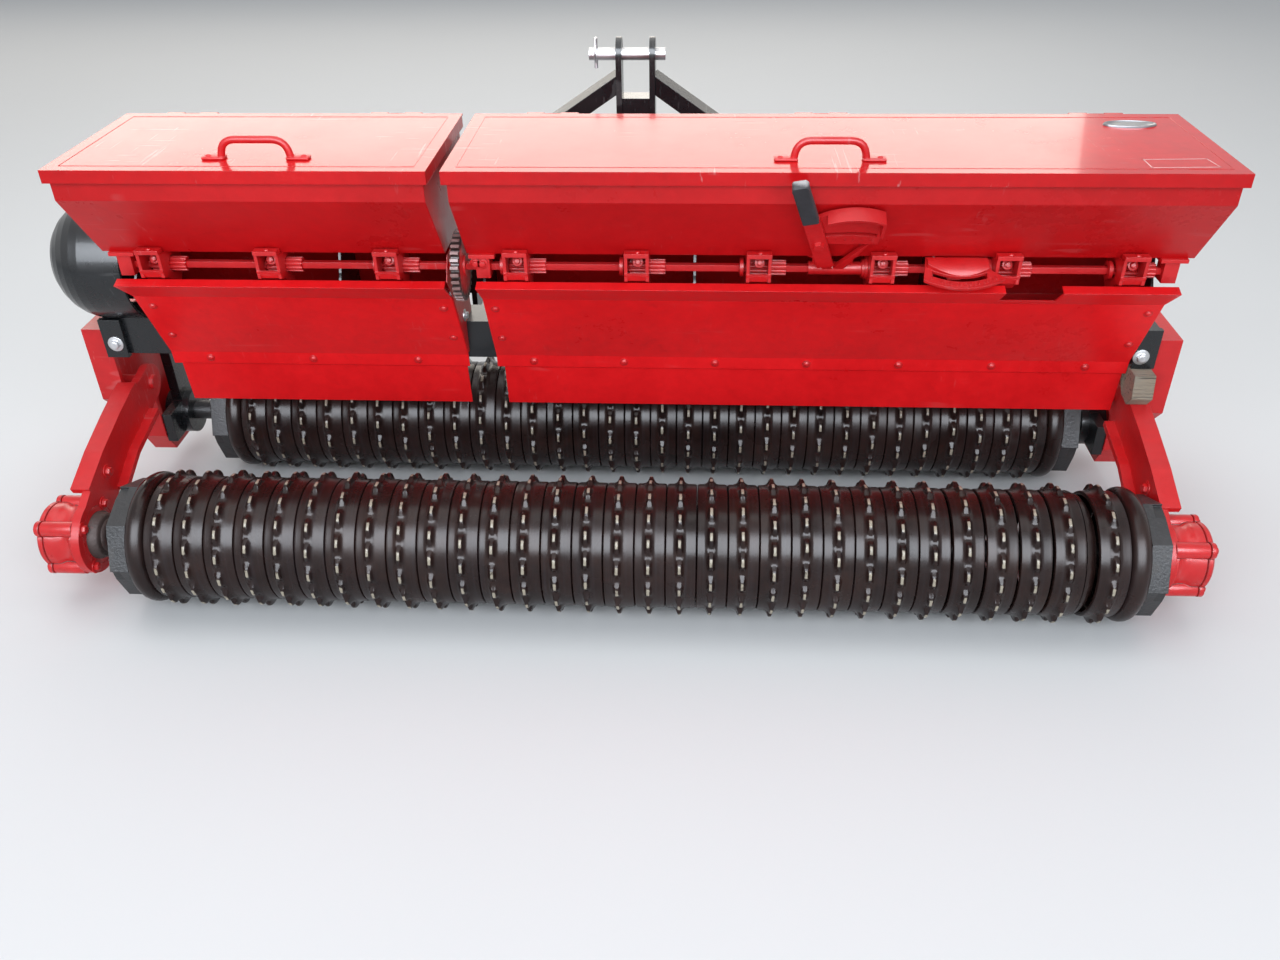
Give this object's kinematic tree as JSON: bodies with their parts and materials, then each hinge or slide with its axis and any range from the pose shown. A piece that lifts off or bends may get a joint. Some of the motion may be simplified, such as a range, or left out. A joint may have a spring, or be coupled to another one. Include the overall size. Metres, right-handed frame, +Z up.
{
  "type": "seed drill",
  "caption": "Red three-point-hitch roller seed drill with hollow seed boxes, hinged lids, fluted feed rollers, seed shields and two toothed press rollers in tandem.",
  "frame": {"origin": "middle of the bounding box's floor, on the ground under the machine", "axes": "+X to the right seen from behind, +Y forwards to the tractor, +Z up"},
  "size_m": [2.2664, 0.877, 0.931],
  "materials": {
    "red_paint": "gloss red paint",
    "red_casting": "red paint on castings, worn",
    "black_paint": "gloss black paint",
    "ring_iron": "oily dark brown-black iron, bright worn tips",
    "axle_black": "satin black",
    "zinc": "zinc plated",
    "old_wood": "weathered grey-brown timber",
    "grip_rubber": "matt black rubber",
    "gear_steel": "greasy, red paint worn off the teeth"
  },
  "bodies": {
    "frame": {"main_beam": "black_paint", "side_frames": "red_casting", "beam_brackets": "black_paint", "rear_arms": "red_casting", "rear_bearings": "red_casting", "bearing_caps": "red_casting", "front_bearings": "black_paint", "wood_block": "old_wood", "seed_box_left": "red_paint", "seed_box_right": "red_paint", "lid_hinges": "red_paint", "box_stands": "black_paint", "feed_cups": "red_casting", "shaft_bearings": "red_casting", "shield_left": "red_paint", "shield_right": "red_paint", "shield_flaps": "red_paint", "feed_panels": "red_paint", "drive_guard": "black_paint", "rate_lever": "red_casting", "lever_grip": "grip_rubber", "rate_quadrant": "red_casting", "rate_dial": "red_casting", "mast_plates": "black_paint", "mast_block": "black_paint", "mast_braces": "black_paint", "top_pin": "zinc", "linch_pin": "zinc", "hitch_bar": "black_paint", "hitch_arms": "black_paint", "lower_lugs": "black_paint", "lower_pins": "zinc"},
    "rear_roller": {"rear_rings": "ring_iron", "rear_axle": "axle_black"},
    "front_roller": {"front_rings": "ring_iron", "front_axle": "axle_black"},
    "left_lid": {"lid_left": "red_paint", "handle_left": "red_paint"},
    "right_lid": {"lid_right": "red_paint", "handle_right": "red_paint"},
    "feed_rotor": {"feed_shaft": "red_casting", "fluted_rollers": "red_casting", "feed_gear": "gear_steel"}
  },
  "joints": [
    {"name": "rear_roller_spin", "type": "hinge", "parent": "frame", "child": "rear_roller", "pos_m": [0.02675, -0.30384, 0.13432], "axis": [1, 0, 0], "continuous": true},
    {"name": "front_roller_spin", "type": "hinge", "parent": "frame", "child": "front_roller", "pos_m": [0.02675, 0.19616, 0.13432], "axis": [1, 0, 0], "continuous": true},
    {"name": "left_lid_hinge", "type": "hinge", "parent": "frame", "child": "left_lid", "pos_m": [-0.62425, 0.12766, 0.839], "axis": [-1, 0, 0], "range_deg": [0, 100]},
    {"name": "right_lid_hinge", "type": "hinge", "parent": "frame", "child": "right_lid", "pos_m": [0.39075, 0.12766, 0.839], "axis": [-1, 0, 0], "range_deg": [0, 100]},
    {"name": "feed_shaft_spin", "type": "hinge", "parent": "frame", "child": "feed_rotor", "pos_m": [0.02675, -0.10384, 0.629], "axis": [1, 0, 0], "continuous": true}
  ]
}
